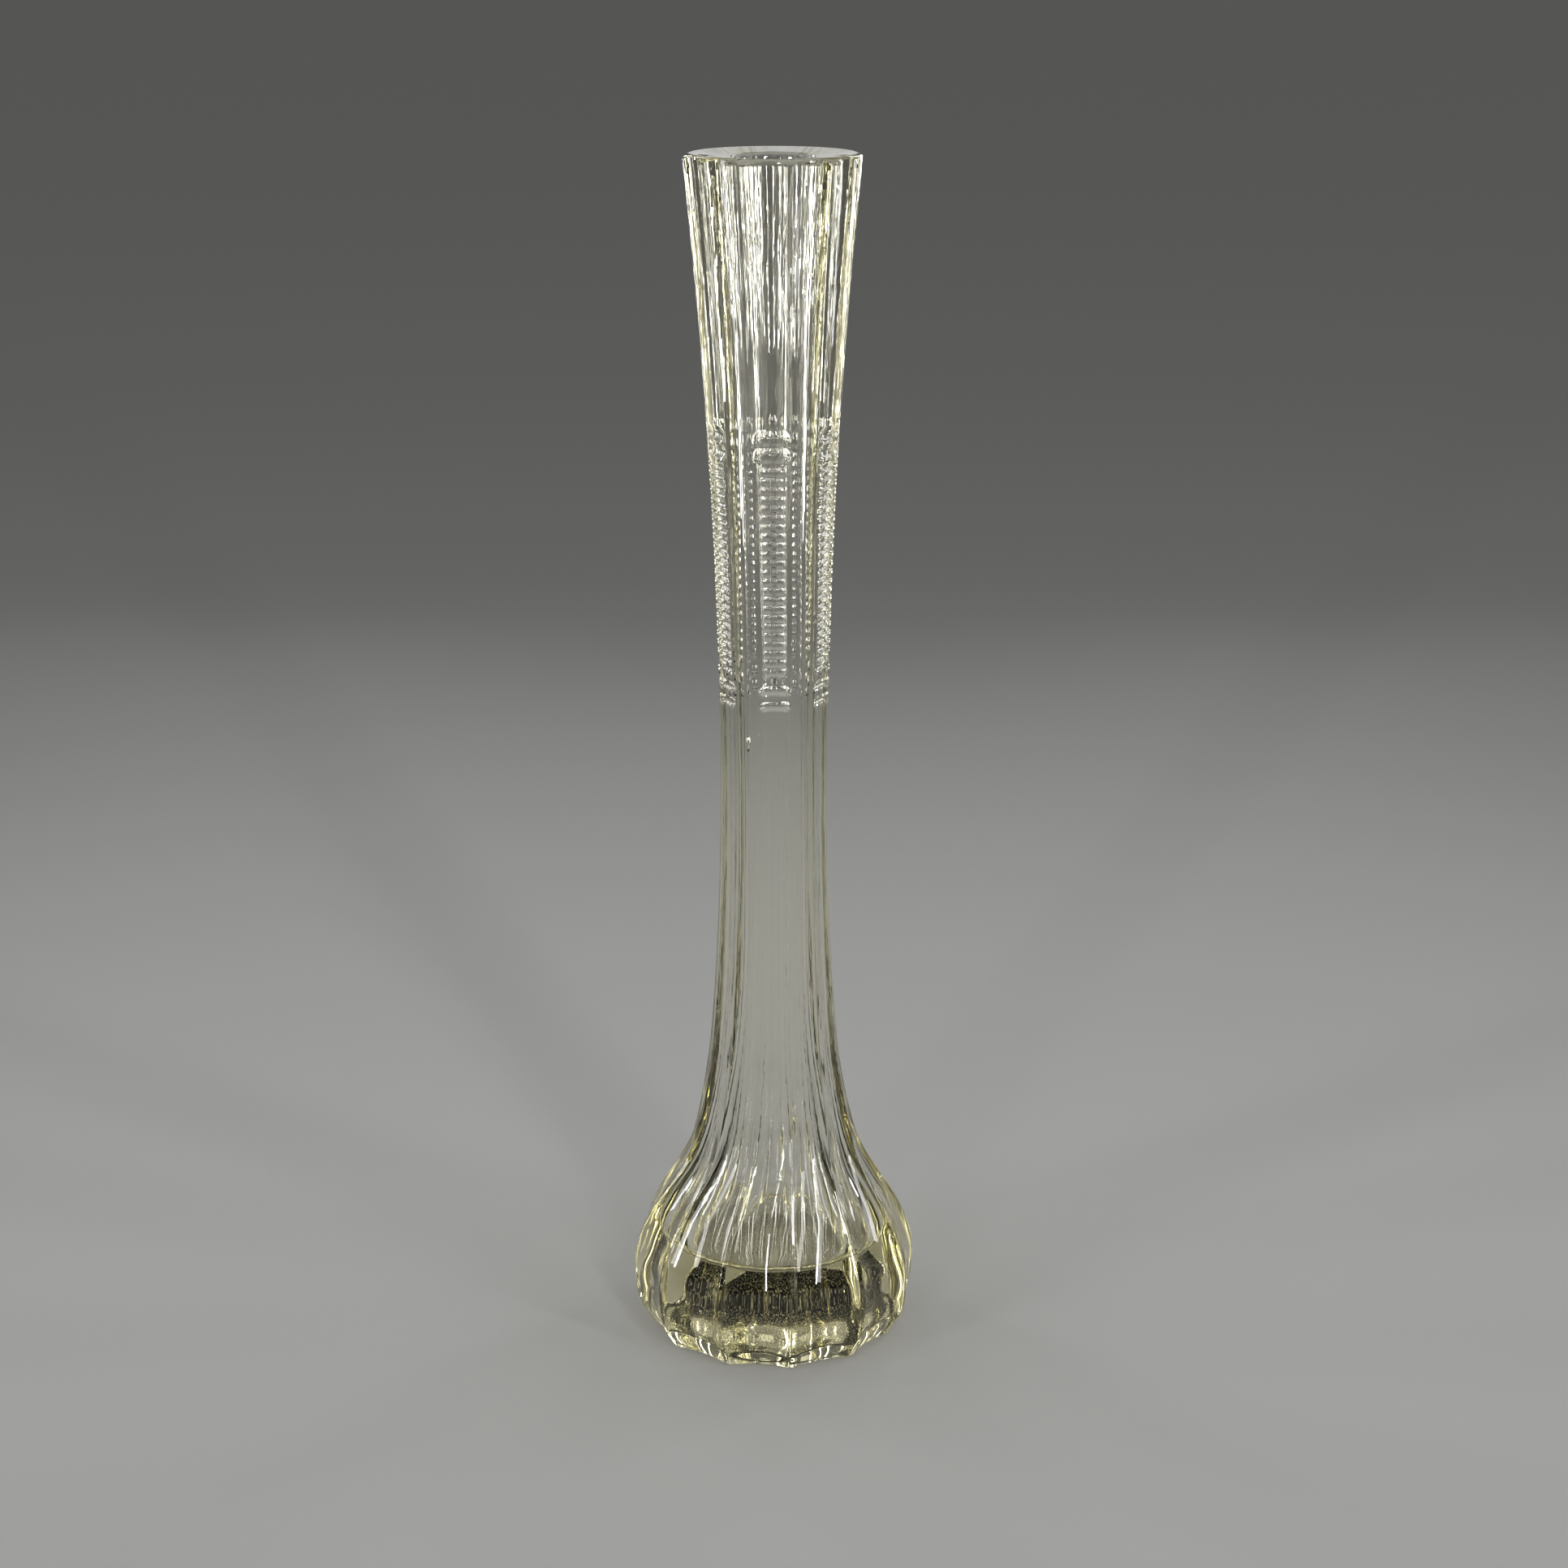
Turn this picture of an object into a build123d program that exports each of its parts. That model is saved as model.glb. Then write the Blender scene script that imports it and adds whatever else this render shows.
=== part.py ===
from build123d import *
import os
from math import asin, cos, degrees, radians, sin

# Pressed glass bud vase, millimetres, +Z up.
# The origin is the centre of the flat foot, and the front panel faces -Y.
# It is one closed body of glass: a thick fluted column that flares to a rim and to a heavy,
# lobed base, round a narrow bore that widens into a small water chamber above a solid bottom.

# ---- driving dimensions ----
height = 200.0
rim_radius = 14.45  # over the ridges, at the top
waist_radius = 9.05  # over the ridges, at the narrowest place
waist_height = 93.0
base_radius = 24.3  # over the ridges, at the widest place
foot_radius = 21.0  # over the ridges, before the edge of the flat foot is rounded
foot_edge_width = 1.1
foot_edge_height = 1.9

panel_count = 12
panel_pitch = 360 / panel_count
ridge_width = 0.9  # flat along the crest of each ridge

# The column is slightly twisted, as it left the mould: degrees about +Z.
waist_turn = 3.0
rim_turn = -4.5
base_turn = -7.0

# Outside below the waist: height, radius over the ridges, depth of the flutes, turn
base_stations = [
    (0.0, foot_radius, 1.4, base_turn),
    (4.5, 23.6, 1.3, base_turn),
    (9.0, base_radius, 1.4, base_turn),
    (13.5, 24.2, 1.4, base_turn),
    (18.0, 22.85, 1.4, -6.7),
    (22.5, 20.6, 1.3, -5.9),
    (27.0, 17.7, 1.1, -4.6),
    (32.0, 15.0, 0.9, -2.4),
    (38.0, 13.3, 0.78, -0.2),
    (48.0, 11.5, 0.65, 1.5),
    (62.0, 10.2, 0.55, 2.5),
    (78.0, 9.4, 0.5, 3.0),
]
column_heights = [93.0, 112.0, 130.0, 147.0, 164.0, 182.0, 200.0]

# Rim: the outer edge is rounded, and the top is a shallow funnel that falls to the mouth.
rim_edge_width = 1.6
rim_edge_drop = 1.6
lip_radius = 7.0
lip_drop = 0.6
lip_round = 0.8

# Bore and water chamber: radii and heights
mouth_radius = 6.4
bore_radius = 4.5
chamber_radius = 17.0
chamber_height = 17.4
floor_height = 15.2
floor_round = 2.2

# Patterned band on every other panel: two broad bars at the top, two narrower ones at the
# bottom, and fine rungs between them
top_bar_heights = [156.3, 153.6]
top_bar_cut = (1.7, 0.5)  # radius of the round cutter, depth of the groove
bottom_bar_heights = [115.0, 112.4]
bottom_bar_cut = (0.8, 0.35)
rungs_bottom = 117.3
rungs_top = 151.7
rung_count = 23
rung_groove_radius = 0.8
rung_groove_depth = 0.3
groove_end_gap = 0.1  # from the end of a groove to the ridge beside it


def column_radius(z):
    """Radius over the ridges above the waist: a parabola that opens to the rim."""
    rise = (z - waist_height) / (height - waist_height)
    return waist_radius + (rim_radius - waist_radius) * rise**2


def column_flute(z):
    """Depth of the flutes above the waist."""
    return 0.05 * column_radius(z)


def column_turn(z):
    """Twist above the waist, in degrees."""
    rise = (z - waist_height) / (height - waist_height)
    return waist_turn + (rim_turn - waist_turn) * rise


def on_circle(radius, angle):
    """Point at a radius and an angle in degrees."""
    return (radius * cos(radians(angle)), radius * sin(radians(angle)))


def fluted_outline(radius, flute_depth, turn):
    """Closed outline: a short flat on each ridge, and a shallow concave arc between ridges."""
    flat = degrees(asin(ridge_width / 2 / radius))
    for index in range(panel_count):
        ridge = -90 + turn + (index + 0.5) * panel_pitch
        panel_middle = ridge + panel_pitch / 2
        flute_start = on_circle(radius, ridge + flat)
        flute_end = on_circle(radius, ridge + panel_pitch - flat)
        Line(on_circle(radius, ridge - flat), flute_start)
        ThreePointArc(flute_start, on_circle(radius - flute_depth, panel_middle), flute_end)


def groove_reach(z, cutter_radius, depth):
    """Distance from +Z to the axis of a cutter that sinks to the depth in the panel middle."""
    return column_radius(z) - column_flute(z) - depth + cutter_radius


def groove_plane(panel, z, cutter_radius, depth):
    """Plane whose normal is the axis of a horizontal cutter across one patterned panel."""
    angle = -90 + column_turn(z) + panel * 2 * panel_pitch
    x, y = on_circle(groove_reach(z, cutter_radius, depth), angle)
    return Plane(origin=(x, y, z), z_dir=(*on_circle(1, angle + 90), 0))


def groove_length(z):
    """Length of a groove that stops just short of both ridges."""
    between_ridges = 2 * column_radius(z) * sin(radians(panel_pitch / 2))
    return between_ridges - ridge_width - 2 * groove_end_gap


column_stations = [(z, column_radius(z), column_flute(z), column_turn(z)) for z in column_heights]
patterned_panels = range(panel_count // 2)
rung_pitch = (rungs_top - rungs_bottom) / rung_count
rung_heights = [rungs_bottom + rung_pitch * (0.5 + step) for step in range(rung_count)]

# ---- the vase ----
with BuildPart() as vase_body:
    # Fluted outside
    for z, radius, flute_depth, turn in base_stations + column_stations:
        with BuildSketch(Plane.XY.offset(z)):
            with BuildLine():
                fluted_outline(radius, flute_depth, turn)
            make_face()
    loft()

    # Rounded lower corners of the ridges, at the edge of the foot
    with BuildSketch(Plane.XZ):
        with BuildLine():
            foot_inner = (foot_radius - foot_edge_width, 0)
            foot_outer = (foot_radius + 1.4, foot_edge_height)
            ThreePointArc(foot_inner, (foot_radius + 0.15, 0.42), foot_outer)
            Line(foot_outer, (foot_radius + 1.4, 0))
            Line((foot_radius + 1.4, 0), foot_inner)
        make_face()
    revolve(axis=Axis.Z, mode=Mode.SUBTRACT)

    # Rounded outer edge of the rim
    with BuildSketch(Plane.XZ):
        with BuildLine():
            rim_inner = (rim_radius - rim_edge_width, height)
            rim_outer = (rim_radius + 0.1, height - rim_edge_drop)
            rim_middle = (rim_radius - 0.42, height - 0.55)
            ThreePointArc(rim_inner, rim_middle, rim_outer)
            Line(rim_outer, (rim_radius + 0.1, height))
            Line((rim_radius + 0.1, height), rim_inner)
        make_face()
    revolve(axis=Axis.Z, mode=Mode.SUBTRACT)

    # Funnel, bore and water chamber
    with BuildSketch(Plane.XZ):
        with BuildLine():
            lip_top = (lip_radius, height - lip_drop)
            lip_bottom = (mouth_radius, height - lip_drop - lip_round)
            Line((0, height), rim_inner)
            funnel_middle = ((rim_inner[0] + lip_radius) / 2, height - 0.42 * lip_drop)
            ThreePointArc(rim_inner, funnel_middle, lip_top)
            lip_middle = (mouth_radius + 0.19, height - lip_drop - 0.26)
            ThreePointArc(lip_top, lip_middle, lip_bottom)
            Spline(
                lip_bottom,
                (4.95, 168),
                (bore_radius, 120),
                (4.55, 78),
                (5.0, 60),
                (6.3, 48),
                (7.9, 40),
                (9.7, 33),
                (12.3, 27),
                (14.9, 22.6),
                (chamber_radius, chamber_height),
                tangents=[(-0.06, -1), (0.1, -1)],
            )
            floor_corner = (chamber_radius - floor_round, floor_height)
            TangentArc((chamber_radius, chamber_height), floor_corner, tangent=(0.1, -1))
            Line(floor_corner, (0, floor_height))
            Line((0, floor_height), (0, height))
        make_face()
    revolve(axis=Axis.Z, mode=Mode.SUBTRACT)

    # Bars pressed into every other panel: round grooves with rounded ends
    for bar_heights, (cutter_radius, depth) in (
        (top_bar_heights, top_bar_cut),
        (bottom_bar_heights, bottom_bar_cut),
    ):
        bar_places = [
            groove_plane(panel, z, cutter_radius, depth)
            for panel in patterned_panels
            for z in bar_heights
        ]
        half_opening = (cutter_radius**2 - (cutter_radius - depth) ** 2) ** 0.5
        bar_length = groove_length(bar_heights[0]) + ridge_width - 2 * half_opening
        with Locations(*bar_places):
            Cylinder(cutter_radius, bar_length, mode=Mode.SUBTRACT)
            with Locations((0, 0, bar_length / 2), (0, 0, -bar_length / 2)):
                Sphere(cutter_radius, mode=Mode.SUBTRACT)

    # Rungs pressed between the bars
    rung_places = [
        groove_plane(panel, z, rung_groove_radius, rung_groove_depth)
        for panel in patterned_panels
        for z in rung_heights
    ]
    with Locations(*rung_places):
        Cylinder(rung_groove_radius, groove_length(rungs_bottom), mode=Mode.SUBTRACT)

vase_body.part.label = "vase_body"

os.makedirs("parts", exist_ok=True)
export_step(vase_body.part, "parts/vase_body.step")
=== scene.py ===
import math
import random

import bpy
import numpy as np
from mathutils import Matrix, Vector


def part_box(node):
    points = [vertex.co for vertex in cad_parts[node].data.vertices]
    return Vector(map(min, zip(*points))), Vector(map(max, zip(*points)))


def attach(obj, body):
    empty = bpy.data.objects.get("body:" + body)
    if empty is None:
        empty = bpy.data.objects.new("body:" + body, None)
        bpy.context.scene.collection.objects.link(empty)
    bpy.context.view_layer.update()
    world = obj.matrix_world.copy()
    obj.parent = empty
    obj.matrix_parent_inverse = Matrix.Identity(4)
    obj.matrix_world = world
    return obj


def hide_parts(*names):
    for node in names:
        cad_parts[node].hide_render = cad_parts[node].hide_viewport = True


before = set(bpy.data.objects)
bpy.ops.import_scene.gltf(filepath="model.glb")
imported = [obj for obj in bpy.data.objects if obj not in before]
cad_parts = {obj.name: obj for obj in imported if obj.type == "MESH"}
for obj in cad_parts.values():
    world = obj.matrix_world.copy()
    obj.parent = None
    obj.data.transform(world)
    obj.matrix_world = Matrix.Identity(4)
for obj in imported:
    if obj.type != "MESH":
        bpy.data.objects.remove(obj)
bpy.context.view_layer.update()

low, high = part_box("vase_body")

# ---- driving dimensions, in metres ----
height = high.z - low.z
mm = height / 200  # the vase is drawn 200 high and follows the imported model's height

rim_radius = 14.45 * mm  # over the ridges
waist_radius = 9.05 * mm
waist_height = 93.0 * mm
foot_radius = 21.0 * mm

panel_count = 12
panel_angle = 2 * math.pi / panel_count
ridge_width = 0.9 * mm

waist_turn = math.radians(3.0)
rim_turn = math.radians(-4.5)

# Outside below the waist: height, radius over the ridges and depth of the flutes, in mm; turn in degrees
base_stations = [
    (0.0, 21.0, 1.4, -7.0),
    (4.5, 23.6, 1.3, -7.0),
    (9.0, 24.3, 1.4, -7.0),
    (13.5, 24.2, 1.4, -7.0),
    (18.0, 22.85, 1.4, -6.7),
    (22.5, 20.6, 1.3, -5.9),
    (27.0, 17.7, 1.1, -4.6),
    (32.0, 15.0, 0.9, -2.4),
    (38.0, 13.3, 0.78, -0.2),
    (48.0, 11.5, 0.65, 1.5),
    (62.0, 10.2, 0.55, 2.5),
    (78.0, 9.4, 0.5, 3.0),
]
column_heights = [93.0, 112.0, 130.0, 147.0, 164.0, 182.0, 200.0]
column_flute = 0.05  # depth of the column's flutes, as a share of the radius

# Bore and water chamber: height and radius in mm, from the lip down to the floor's corner
bore_stations = [
    (198.6, 6.4),
    (184.0, 5.6),
    (168.0, 4.95),
    (120.0, 4.5),
    (78.0, 4.55),
    (60.0, 5.0),
    (48.0, 6.3),
    (40.0, 7.9),
    (33.0, 9.7),
    (27.0, 12.3),
    (22.6, 14.9),
    (17.4, 17.0),
]
floor_height = 15.2 * mm
floor_round = 2.2 * mm
chamber_radius = 17.0 * mm
chamber_height = 17.4 * mm

# Foot: the lower corners of the ridges are rounded, and the whole edge is a little soft
foot_edge_width = 1.1 * mm
foot_edge_height = 1.9 * mm
foot_edge_rise = 2.6 * mm  # how far the rounding reaches out over its height
foot_soft = 0.4 * mm

# Rim: a rounded outer edge, a shallow funnel that falls to the mouth, and a rounded lip
rim_inner_edge = 12.85 * mm
rim_edge_width = 1.75 * mm
rim_edge_drop = 1.6 * mm
rim_soft = 0.12 * mm
lip_radius = 7.0 * mm
lip_drop = 0.6 * mm
lip_round = 0.8 * mm

# Patterned band on every other panel: height of each groove, radius and depth of its round cutter
bars = [(156.3, 1.7, 0.5), (153.6, 1.7, 0.5), (115.0, 0.8, 0.35), (112.4, 0.8, 0.35)]
rungs_bottom = 117.3
rungs_top = 151.7
rung_count = 23
rung_cutter = (0.8, 0.3)
groove_end_gap = 0.1 * mm

wave_height = 0.006 * mm
wave_inset = 3 * wave_height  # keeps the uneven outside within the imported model's box

# Seed bubbles in the glass, and one large one: heading in degrees, then distance from +Z, height,
# half width and half height in mm
bubble_count = 26
bubble_sizes = (0.08, 0.2)
large_bubble = (-123, 7.0, 105.5, 0.5, 1.4)

worn_height = 1.2 * mm  # of the scuffed edge of the foot
air_gap = 0.05 * mm  # between the foot and the surface that it stands on

# ---- glass ----
glass_ior = 1.52
tint = (0.93, 0.86, 0.28, 1)  # what thick glass lets through
tint_density = 18.0  # per metre
smudge_roughness = 0.02
scuff_roughness = 0.4
long_wave_height = 0.03 * mm
draw_line_height = 0.025 * mm
skin_height = 0.0015 * mm
# How strong the draw lines are at each share of the height: none on the base and at the rim
draw_line_strength = ((0.12, 0), (0.2, 1), (0.984, 1), (0.992, 0))

# ---- studio, in metres and degrees ----
floor_colour = (0.36, 0.36, 0.35, 1)
floor_size = 80
horizon_light = 0.08
zenith_light = 0.36
camera_place = (0.0017, -0.4803, 0.2372)
camera_pitch = -16.3
camera_lens = 69  # mm, on a 36 mm sensor
# Soft lights: name, place, target, width and height, power in watts
soft_lights = [
    ("front_top", (0, -0.5, 0.75), (0, 0, 0.15), (0.8, 0.3), 0.5),
    ("front_key", (0.3, -0.75, 0.7), (0, 0, 0.05), (0.08, 0.3), 1.4),
    ("rim_card", (0, 0.6, 0.31), (0, 0, 0.31), (0.12, 0.18), 0.045),
]
# Upright strips on both sides, which draw the bright lines in the glass
side_strip_x = 0.42
side_strip_ys = (-0.36, -0.16, 0.04, 0.24)
tall_strip_headings = (20, 52, 132)  # from the front
tall_strip_distance = 0.85
back_strip_xs = (0.17, 0.3)
back_strip_y = 0.62


def smooth_path(stations, z):
    """Smooth cubic through (height, value) stations, read at the heights z."""
    heights, values = (np.array(column, float) for column in zip(*sorted(stations)))
    slopes = np.gradient(values, heights)
    index = np.clip(np.searchsorted(heights, z) - 1, 0, len(heights) - 2)
    span = heights[index + 1] - heights[index]
    t = np.clip((z - heights[index]) / span, 0, 1)
    start, end = values[index], values[index + 1]
    leave, arrive = slopes[index] * span, slopes[index + 1] * span
    return (
        (2 * t**3 - 3 * t**2 + 1) * start
        + (t**3 - 2 * t**2 + t) * leave
        + (3 * t**2 - 2 * t**3) * end
        + (t**3 - t**2) * arrive
    )


def column_stations():
    """Stations of the whole outside: those of the base, then the parabola above the waist."""
    stations = list(base_stations)
    for z in column_heights:
        rise = (z - waist_height / mm) / ((height - waist_height) / mm)
        radius = (waist_radius + (rim_radius - waist_radius) * rise**2) / mm
        turn = math.degrees(waist_turn + (rim_turn - waist_turn) * rise)
        stations.append((z, radius, column_flute * radius, turn))
    return stations


outside = column_stations()


def ridge_radius(z):
    return smooth_path([(s[0], s[1]) for s in outside], z / mm) * mm


def flute_depth(z):
    return smooth_path([(s[0], s[2]) for s in outside], z / mm) * mm


def turn_at(z):
    return np.radians(smooth_path([(s[0], s[3]) for s in outside], z / mm))


def bore_radius(z):
    return smooth_path(bore_stations, z / mm) * mm


# ---- cross-section ----
# Places round one panel pitch: across the flute (-1 to 1), then over the ridge at its right
flute_places = [-0.985, -0.95, -0.88, -0.74, -0.5, -0.25, 0, 0.25, 0.5, 0.74, 0.88, 0.95, 0.985]
ridge_places = [-0.82, -0.4, 0.4, 0.82]


def panel_outline(radius, depth):
    """Points of one panel and the ridge after it, for arrays of radius and depth (one per row).

    Returns (rows, places, 2) points about the panel's middle, which lies along +X.
    """
    ridge_half = np.arcsin(ridge_width / 2 / radius)
    edge = panel_angle / 2 - ridge_half
    chord_out = radius * np.cos(edge)
    chord_half = radius * np.sin(edge)
    hollow = depth - (radius - chord_out)
    places = np.array(flute_places)
    across = chord_half[:, None] * places
    out = chord_out[:, None] - hollow[:, None] * (1 - places**2)
    flute = np.stack([out, across], axis=-1)

    ridge_out = radius * np.cos(ridge_half)
    along = ridge_width / 2 * np.array(ridge_places)
    spin = panel_angle / 2
    ridge_x = ridge_out[:, None] * math.cos(spin) - along * math.sin(spin)
    ridge_y = ridge_out[:, None] * math.sin(spin) + along * math.cos(spin)
    return np.concatenate([flute, np.stack([ridge_x, ridge_y], axis=-1)], axis=1)


def spun(points, angle):
    """Points (rows, places, 2) turned about +Z by one angle for each row."""
    cos, sin = np.cos(angle)[:, None], np.sin(angle)[:, None]
    x, y = points[..., 0], points[..., 1]
    return np.stack([x * cos - y * sin, x * sin + y * cos], axis=-1)


def press_groove(xy, z, middle, cutter_radius, cutter_depth, round_ended):
    """Press one round groove into every other panel of the outline rows."""
    near = np.abs(z - middle) < cutter_radius
    if not near.any():
        return
    level = np.array([middle])
    radius = ridge_radius(level)[0]
    reach = radius - flute_depth(level)[0] - cutter_depth + cutter_radius
    half = radius * math.sin(panel_angle / 2) - ridge_width / 2 - groove_end_gap
    if round_ended:
        opening = math.sqrt(cutter_radius**2 - (cutter_radius - cutter_depth) ** 2)
        half += ridge_width / 2 - opening
    off = (z[near] - middle)[:, None]
    for panel in range(0, panel_count, 2):
        angle = np.full(off.shape[0], -math.pi / 2 + turn_at(level)[0] + panel * panel_angle)
        local = spun(xy[near], -angle)
        past_end = np.maximum(np.abs(local[..., 1]) - half, 0)
        if not round_ended:
            past_end = np.where(past_end > 0, cutter_radius, 0)
        inside = cutter_radius**2 - off**2 - past_end**2
        cut = reach - np.sqrt(np.maximum(inside, 0))
        pressed = (inside > 0) & (local[..., 0] > cut)
        local[..., 0] = np.where(pressed, cut, local[..., 0])
        xy[near] = spun(local, angle)


def rung_heights():
    pitch = (rungs_top - rungs_bottom) / rung_count
    return [rungs_bottom + pitch * (0.5 + step) for step in range(rung_count)]


def waviness(heading, z):
    """Slow unevenness of the fire polished surface, about a hundredth of a millimetre."""
    wave = np.sin(3 * heading + 46 * z / height + 0.7)
    wave = wave + 0.7 * np.sin(5 * heading - 81 * z / height + 2.1)
    wave = wave + 0.5 * np.sin(11 * heading + 150 * z / height + 4.0)
    return wave_height * wave


def outline_rows(z):
    """Points (rows, places round the vase, 3) of the fluted outside at heights z."""
    turn = turn_at(z)
    panel_points = panel_outline(ridge_radius(z), flute_depth(z))
    panels = [
        spun(panel_points, -math.pi / 2 + turn + panel * panel_angle) for panel in range(panel_count)
    ]
    xy = np.concatenate(panels, axis=1)
    for middle, cutter_radius, cutter_depth in bars:
        press_groove(xy, z, middle * mm, cutter_radius * mm, cutter_depth * mm, True)
    for middle in rung_heights():
        press_groove(xy, z, middle * mm, rung_cutter[0] * mm, rung_cutter[1] * mm, False)
    reach = np.hypot(xy[..., 0], xy[..., 1])
    heading = np.arctan2(xy[..., 1], xy[..., 0])
    reach = foot_rounded(reach, z[:, None]) - wave_inset + waviness(heading, z[:, None])
    levels = np.broadcast_to(z[:, None], reach.shape)
    return np.stack([reach * np.cos(heading), reach * np.sin(heading), levels], axis=-1)


def foot_rounded(reach, z):
    """Distance from +Z after the foot's edge is rounded."""
    share = np.clip(z / foot_edge_height, 0, 1)
    ridge_limit = foot_radius - foot_edge_width + foot_edge_rise * np.sqrt(1 - (1 - share) ** 2)
    reach = np.where(z < foot_edge_height, np.minimum(reach, ridge_limit), reach)
    soft = np.clip(1 - z / foot_soft, 0, 1)
    return reach - foot_soft * (1 - np.sqrt(1 - soft**2))


def between(start, end, step):
    """Heights from start to end, about step apart, without the end."""
    return np.linspace(start, end, max(2, round((end - start) / step)), endpoint=False)


def wall_heights(top):
    """Heights of the outside's rows: close together where the pattern and the flare need it."""
    ladder_low, ladder_high = rungs_bottom * mm, rungs_top * mm
    return np.concatenate(
        [
            np.array([0, 0.02, 0.08, 0.18, 0.3, 0.45, 0.65, 0.9, 1.2, 1.55, 1.9, 2.4]) * mm,
            between(3 * mm, 34 * mm, 0.8 * mm),
            between(34 * mm, 60 * mm, 1.4 * mm),
            between(60 * mm, 111.2 * mm, 3 * mm),
            between(111.2 * mm, 116.2 * mm, 0.2 * mm),
            between(116.2 * mm, ladder_low, 0.5 * mm),
            between(ladder_low, ladder_high, (ladder_high - ladder_low) / rung_count / 8),
            between(ladder_high, 158 * mm, 0.22 * mm),
            between(158 * mm, top, 3 * mm),
            [top],
        ]
    )


def foot_rows(lowest):
    """Rows of the flat underside, from its middle out to the lowest row of the wall."""
    shares = [0.02, 0.2, 0.4, 0.6, 0.8, 0.95]
    return np.array([lowest * np.array([share, share, 1]) for share in shares])


def rim_edge(reach):
    """Height of the rounded outer edge of the rim at a distance from +Z."""
    share = np.clip((reach - rim_inner_edge) / rim_edge_width, 0, 0.99)
    return height - rim_edge_drop * (1 - np.sqrt(1 - share**2))


def polar(reach, heading, z):
    return np.stack([reach * np.cos(heading), reach * np.sin(heading), z + 0 * heading], axis=-1)


def rim_rows():
    """Rows from just below the rim, over its rounded edge and top face, to the lip."""
    level = np.array([height - 0.5 * mm])
    edge = outline_rows(level)[0]
    reach = np.hypot(edge[:, 0], edge[:, 1])
    heading = np.unwrap(np.arctan2(edge[:, 1], edge[:, 0]))
    top = rim_edge(reach)
    start = height - 1.8 * mm
    rows = []
    for share in [0.25, 0.5, 0.75, 1.0]:
        z = start + (top - rim_soft - start) * share
        columns = outline_rows(z)
        rows.append(columns[np.arange(len(z)), np.arange(len(z))])
    for turn in np.radians([30, 65]):
        inset = rim_soft * (1 - math.cos(turn))
        lift = rim_soft * math.sin(turn)
        rows.append(polar(reach - inset, heading, top - rim_soft + lift - 0.2 * inset))
    even = even_heading(heading)
    for share in [0.12, 0.3, 0.5, 0.75, 1.0]:
        r = reach - rim_soft + (rim_inner_edge - reach + rim_soft) * share
        rows.append(polar(r, heading, rim_edge(r)))
    for share in [0.06, 0.16, 0.3, 0.45, 0.6, 0.75, 0.88, 1.0]:
        r = rim_inner_edge + (lip_radius - rim_inner_edge) * share
        fall = lip_drop * share * (0.68 + 0.32 * share)
        rows.append(polar(r, heading + (even - heading) * share, height - fall))
    mouth = bore_stations[0][1] * mm
    for turn in np.radians([25, 50, 72, 90]):
        r = mouth + (lip_radius - mouth) * (1 - math.sin(turn))
        rows.append(polar(r, even, height - lip_drop - lip_round * (1 - math.cos(turn))))
    return np.array(rows), even, start


def even_heading(heading):
    """The same columns at even angles, for the round inside."""
    middle = len(flute_places) // 2
    return heading[middle] + 2 * math.pi * (np.arange(len(heading)) - middle) / len(heading)


def inner_rows(even):
    """Rows down the bore, round the water chamber's corner and in to the middle of its floor."""
    levels = np.concatenate(
        [
            between(180 * mm, height - 2.2 * mm, 3 * mm)[::-1],
            between(66 * mm, 180 * mm, 6 * mm)[::-1],
            between(chamber_height, 66 * mm, 1.4 * mm)[::-1],
        ]
    )
    rings = [(bore_radius(np.array([z]))[0], z) for z in levels]
    corner = chamber_radius - floor_round
    for turn in np.radians([18, 36, 54, 72, 90]):
        rings.append((corner + floor_round * math.cos(turn), chamber_height - floor_round * math.sin(turn)))
    rings += [(corner * share, floor_height) for share in [0.9, 0.7, 0.45, 0.2, 0.02]]
    return np.array([polar(r + waviness(even + 1.3, z) * min(1, r / (6 * mm)), even, z) for r, z in rings])


def vase_rows():
    rim, even, top = rim_rows()
    wall = outline_rows(wall_heights(top))
    return np.concatenate([foot_rows(wall[0]), wall, rim, inner_rows(even)])


def bubble_mesh(middle, size, first):
    """Points and faces of one closed void, whose faces look into the void."""
    rings, around = 6, 10
    points, faces = [], []
    for ring in range(1, rings):
        slope = math.pi * ring / rings
        for step in range(around):
            turn = 2 * math.pi * step / around
            direction = (math.sin(slope) * math.cos(turn), math.sin(slope) * math.sin(turn), math.cos(slope))
            points.append([m + s * d for m, s, d in zip(middle, size, direction)])
    points.append([middle[0], middle[1], middle[2] + size[2]])
    points.append([middle[0], middle[1], middle[2] - size[2]])
    top, bottom = len(points) - 2, len(points) - 1
    for step in range(around):
        right = (step + 1) % around
        last = (rings - 2) * around
        faces.append((top, right, step))
        faces.append((bottom, last + step, last + right))
        for ring in range(rings - 2):
            here, there = ring * around, (ring + 1) * around
            faces.append((here + step, here + right, there + right, there + step))
    return points, [tuple(first + corner for corner in face) for face in faces]


def bubbles():
    """Place and size of each bubble in the glass, in metres."""
    places = [large_bubble]
    chance = random.Random(7)
    for _ in range(bubble_count):
        heading = chance.uniform(0, 360)
        z = chance.choice([chance.uniform(3, 13), chance.uniform(34, 196)])
        outer = (ridge_radius(np.array([z * mm])) - flute_depth(np.array([z * mm])))[0] / mm
        inner = bore_radius(np.array([z * mm]))[0] / mm if z > 16 else 0
        reach = inner + (outer - inner) * chance.uniform(0.3, 0.75)
        size = chance.uniform(*bubble_sizes)
        places.append((heading, reach, z, size, size * chance.uniform(1, 2.2)))
    for heading, reach, z, wide, tall in places:
        spin = math.radians(heading)
        yield (
            (reach * mm * math.cos(spin), reach * mm * math.sin(spin), z * mm),
            (wide * mm, wide * mm, tall * mm),
        )


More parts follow.
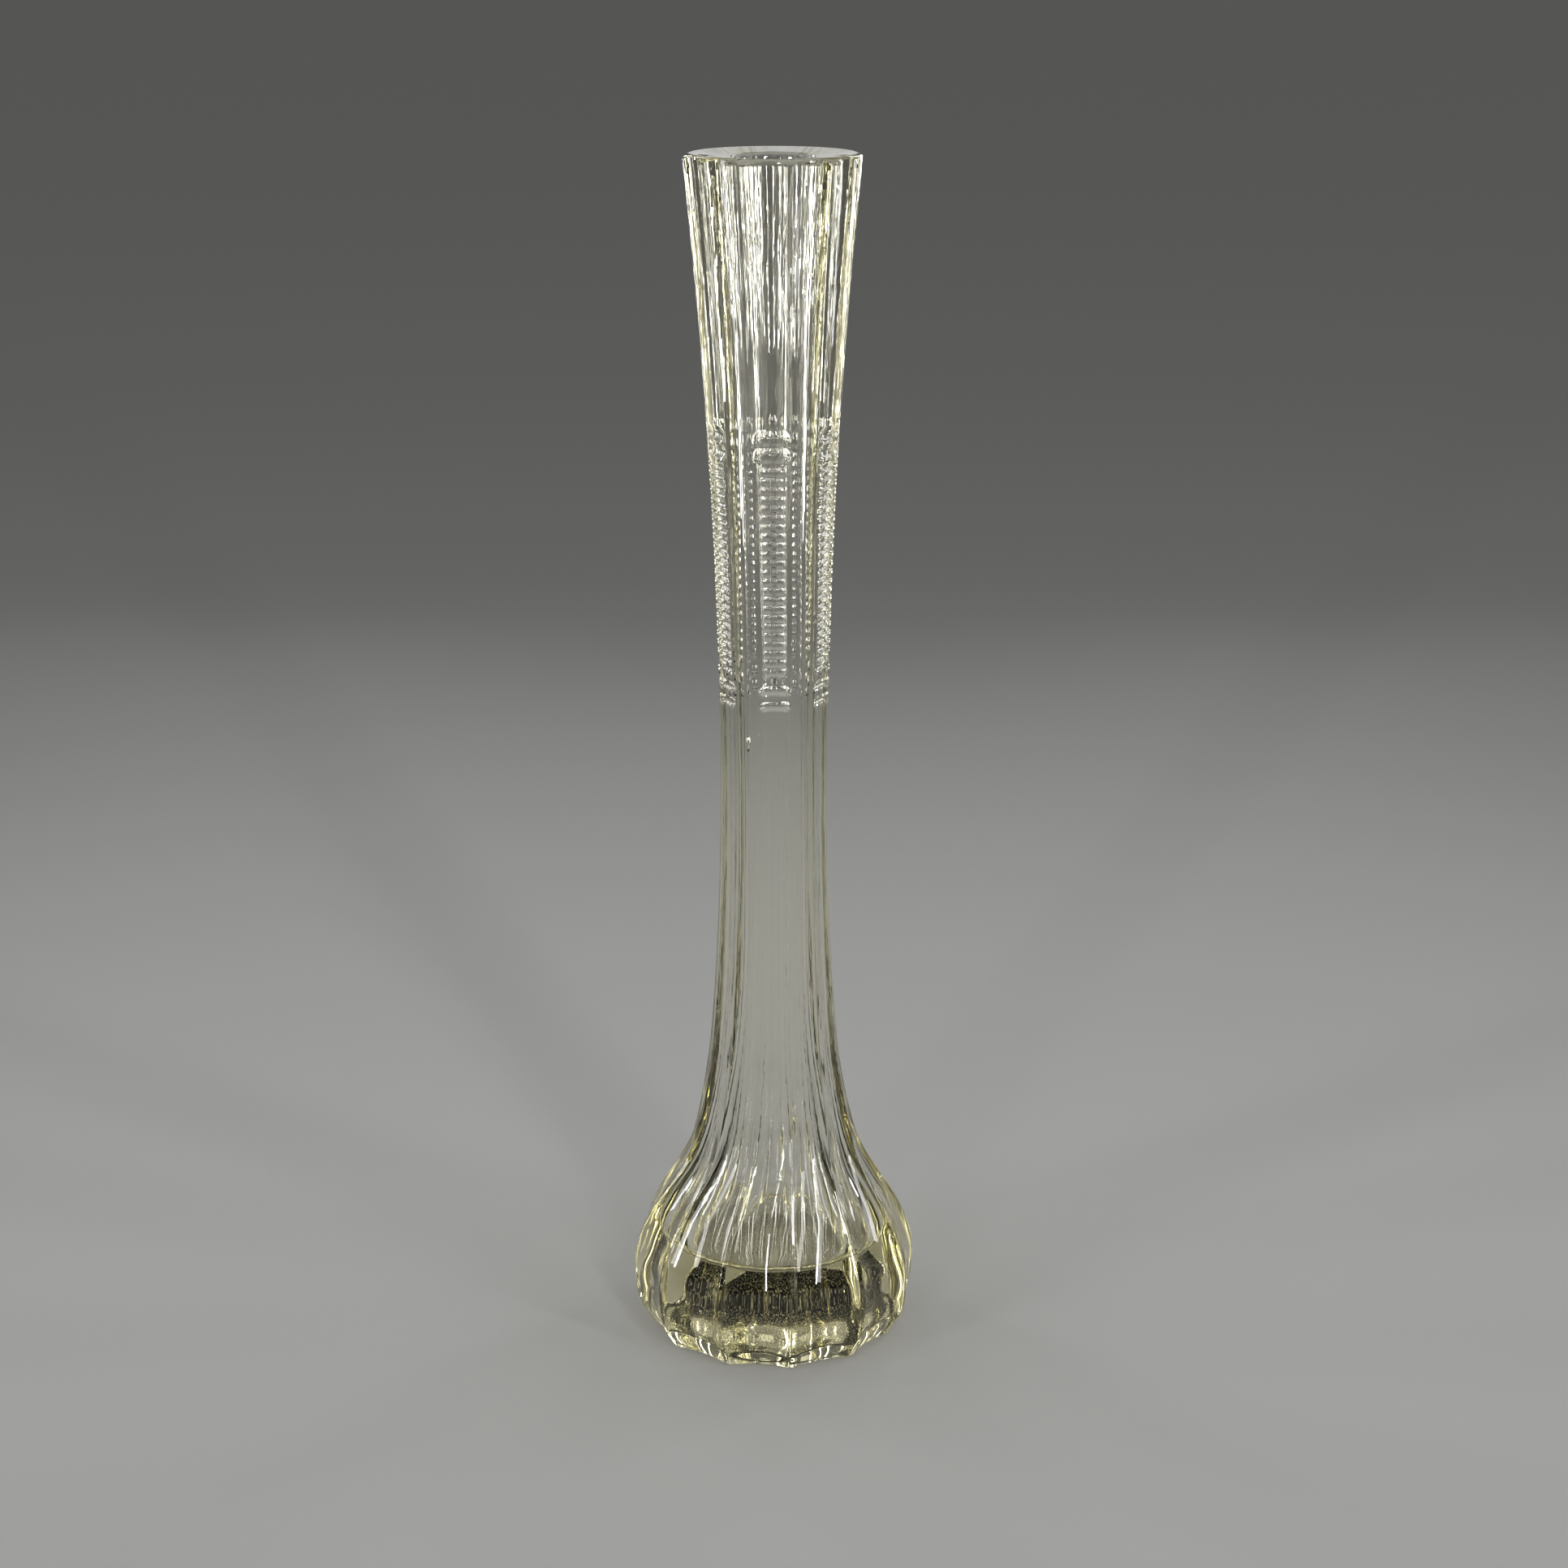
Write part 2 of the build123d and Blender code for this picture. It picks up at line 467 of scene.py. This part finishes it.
def grid_mesh(name, rows):
    """One closed smooth mesh from rows of points that close round, with a point at each end."""
    count, around = rows.shape[:2]
    points = rows.reshape(-1, 3).tolist()
    first, last = len(points), len(points) + 1
    points.append([0, 0, float(rows[0, 0, 2])])
    points.append([0, 0, float(rows[-1, 0, 2])])
    faces = []
    for row in range(count - 1):
        for column in range(around):
            right = (column + 1) % around
            here, there = row * around, (row + 1) * around
            faces.append((here + column, here + right, there + right, there + column))
    for column in range(around):
        right = (column + 1) % around
        top = (count - 1) * around
        faces.append((first, right, column))
        faces.append((top + column, top + right, last))
    for middle, size in bubbles():
        bubble_points, bubble_faces = bubble_mesh(middle, size, len(points))
        points += bubble_points
        faces += bubble_faces
    mesh = bpy.data.meshes.new(name)
    mesh.from_pydata(points, [], faces)
    mesh.polygons.foreach_set("use_smooth", [True] * len(mesh.polygons))
    mesh.update()
    piece = bpy.data.objects.new(name, mesh)
    bpy.context.scene.collection.objects.link(piece)
    return piece


# ---- materials ----
def glass_material():
    """Clear pressed glass: straw tint in the thickness, faint waviness, haze and a worn foot."""
    material = bpy.data.materials.new("straw_tinted_glass")
    material.use_nodes = True
    tree = material.node_tree
    shader = tree.nodes["Principled BSDF"]
    shader.inputs["Base Color"].default_value = (1, 1, 1, 1)
    shader.inputs["IOR"].default_value = glass_ior
    shader.inputs["Transmission Weight"].default_value = 1.0

    place = tree.nodes.new("ShaderNodeTexCoord").outputs["Object"]
    long_waves = noise(tree, place, per_metre=130, stretch=0.12, detail=1)
    skin = noise(tree, place, per_metre=900, stretch=0.6, detail=2)
    draw_lines = noise(tree, place, per_metre=1500, stretch=0.006, detail=2)
    scratches = noise(tree, place, per_metre=2600, stretch=1.0, detail=3)

    # Height above the table tells the worn edge of the foot from the rest
    split = tree.nodes.new("ShaderNodeSeparateXYZ")
    tree.links.new(place, split.inputs["Vector"])
    foot = tree.nodes.new("ShaderNodeMapRange")
    foot.inputs["From Min"].default_value = low.z + worn_height
    foot.inputs["From Max"].default_value = low.z
    tree.links.new(split.outputs["Z"], foot.inputs["Value"])

    # The draw lines run up the wall, and leave the base, its flat faces and the rim smooth
    wall = tree.nodes.new("ShaderNodeValToRGB")
    wall.color_ramp.elements.remove(wall.color_ramp.elements[0])
    wall.color_ramp.elements[0].position = 0.0
    wall.color_ramp.elements[0].color = (0, 0, 0, 1)
    for share, grey in draw_line_strength:
        wall.color_ramp.elements.new(share).color = (grey, grey, grey, 1)
    share_up = tree.nodes.new("ShaderNodeMapRange")
    share_up.inputs["From Min"].default_value = low.z
    share_up.inputs["From Max"].default_value = high.z
    tree.links.new(split.outputs["Z"], share_up.inputs["Value"])
    tree.links.new(share_up.outputs["Result"], wall.inputs["Fac"])

    smudge = tree.nodes.new("ShaderNodeMapRange")
    smudge.inputs["From Min"].default_value = 0.52
    smudge.inputs["From Max"].default_value = 0.8
    smudge.inputs["To Max"].default_value = smudge_roughness
    tree.links.new(skin, smudge.inputs["Value"])
    scuff = tree.nodes.new("ShaderNodeMapRange")
    scuff.inputs["From Min"].default_value = 0.45
    scuff.inputs["From Max"].default_value = 0.62
    scuff.inputs["To Max"].default_value = scuff_roughness
    tree.links.new(scratches, scuff.inputs["Value"])
    worn = multiply(tree, scuff.outputs["Result"], foot.outputs["Result"])
    rough = tree.nodes.new("ShaderNodeMath")
    tree.links.new(smudge.outputs["Result"], rough.inputs[0])
    tree.links.new(worn, rough.inputs[1])
    tree.links.new(rough.outputs["Value"], shader.inputs["Roughness"])

    waves = bump(tree, long_waves, long_wave_height, None)
    drawn = bump(tree, draw_lines, draw_line_height, waves)
    tree.links.new(wall.outputs["Color"], drawn.node.inputs["Strength"])
    fine = bump(tree, skin, skin_height, drawn)
    tree.links.new(fine, shader.inputs["Normal"])

    absorb = tree.nodes.new("ShaderNodeVolumeAbsorption")
    absorb.inputs["Color"].default_value = tint
    absorb.inputs["Density"].default_value = tint_density
    tree.links.new(absorb.outputs["Volume"], tree.nodes["Material Output"].inputs["Volume"])
    return material


def noise(tree, place, per_metre, stretch, detail):
    """Noise of the object's own space; stretch below 1 draws it out along the height."""
    scale = tree.nodes.new("ShaderNodeVectorMath")
    scale.operation = "MULTIPLY"
    scale.inputs[1].default_value = (per_metre, per_metre, per_metre * stretch)
    tree.links.new(place, scale.inputs[0])
    texture = tree.nodes.new("ShaderNodeTexNoise")
    texture.inputs["Scale"].default_value = 1.0
    texture.inputs["Detail"].default_value = detail
    tree.links.new(scale.outputs["Vector"], texture.inputs["Vector"])
    return texture.outputs["Fac"]


def multiply(tree, first, second):
    node = tree.nodes.new("ShaderNodeMath")
    node.operation = "MULTIPLY"
    tree.links.new(first, node.inputs[0])
    tree.links.new(second, node.inputs[1])
    return node.outputs["Value"]


def bump(tree, height_field, distance, under):
    node = tree.nodes.new("ShaderNodeBump")
    node.inputs["Strength"].default_value = 1.0
    node.inputs["Distance"].default_value = distance
    tree.links.new(height_field, node.inputs["Height"])
    if under is not None:
        tree.links.new(under, node.inputs["Normal"])
    return node.outputs["Normal"]


def floor_material():
    material = bpy.data.materials.new("pale_floor")
    material.use_nodes = True
    shader = material.node_tree.nodes["Principled BSDF"]
    shader.inputs["Base Color"].default_value = floor_colour
    shader.inputs["Roughness"].default_value = 0.85
    return material


# ---- the vase ----
vase = grid_mesh("vase_glass", vase_rows())
vase.data.materials.append(glass_material())
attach(vase, "root")
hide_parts("vase_body")


# ---- studio ----
def add_floor():
    bpy.ops.mesh.primitive_plane_add(size=floor_size, location=(0, 0, low.z - air_gap))
    floor = bpy.context.object
    floor.name = "floor"
    floor.data.materials.append(floor_material())


def add_area(name, place, target, size, power, spread=180):
    """Soft light at a place, turned to its target, which the camera itself doesn't see."""
    light = bpy.data.lights.new(name, "AREA")
    light.shape = "RECTANGLE"
    light.size, light.size_y = size
    light.energy = power
    light.spread = math.radians(spread)
    lamp = bpy.data.objects.new(name, light)
    lamp.location = place
    way = Vector(target) - Vector(place)
    lamp.rotation_euler = way.to_track_quat("-Z", "Y").to_euler()
    lamp.visible_camera = False
    bpy.context.scene.collection.objects.link(lamp)


def add_world():
    """Dim surroundings that brighten softly towards the zenith, like a lit studio ceiling."""
    world = bpy.data.worlds.new("world")
    bpy.context.scene.world = world
    world.use_nodes = True
    tree = world.node_tree
    split = tree.nodes.new("ShaderNodeSeparateXYZ")
    tree.links.new(tree.nodes.new("ShaderNodeTexCoord").outputs["Generated"], split.inputs["Vector"])
    rise = tree.nodes.new("ShaderNodeMapRange")
    rise.interpolation_type = "SMOOTHSTEP"
    rise.inputs["From Min"].default_value = 0.3
    rise.inputs["From Max"].default_value = 1.0
    rise.inputs["To Min"].default_value = horizon_light
    rise.inputs["To Max"].default_value = zenith_light
    tree.links.new(split.outputs["Z"], rise.inputs["Value"])
    tree.links.new(rise.outputs["Result"], tree.nodes["Background"].inputs["Color"])


def add_camera():
    camera = bpy.data.cameras.new("camera")
    camera.sensor_width = 36
    camera.lens = camera_lens
    eye = bpy.data.objects.new("camera", camera)
    eye.location = camera_place
    eye.rotation_euler = (math.radians(90 + camera_pitch), 0, 0)
    bpy.context.scene.collection.objects.link(eye)
    bpy.context.scene.camera = eye


def add_lights():
    for name, place, target, size, power in soft_lights:
        add_area(name, place, target, size, power)
    for side in (-1, 1):
        for y in side_strip_ys:
            place = (side * side_strip_x, y, 0.35)
            add_area("side_strip", place, (0, y / 3, 0.35), (0.035, 0.56), 0.2, 120)
        for heading in tall_strip_headings:
            spin = math.radians(heading) * side
            place = (tall_strip_distance * math.sin(spin), -tall_strip_distance * math.cos(spin), 0.36)
            add_area("tall_strip", place, (0, 0, 0.3), (0.02, 0.56), 0.35, 90)
        for x in back_strip_xs:
            place = (side * x, back_strip_y, 0.35)
            add_area("back_strip", place, (0, 0, 0.3), (0.012, 0.5), 0.11, 90)


add_floor()
add_lights()
add_world()
add_camera()
bpy.context.scene.view_settings.view_transform = "Standard"
cycles = bpy.context.scene.cycles
cycles.max_bounces = 32  # light crosses thick glass many times
cycles.transmission_bounces = 32
cycles.transparent_max_bounces = 16
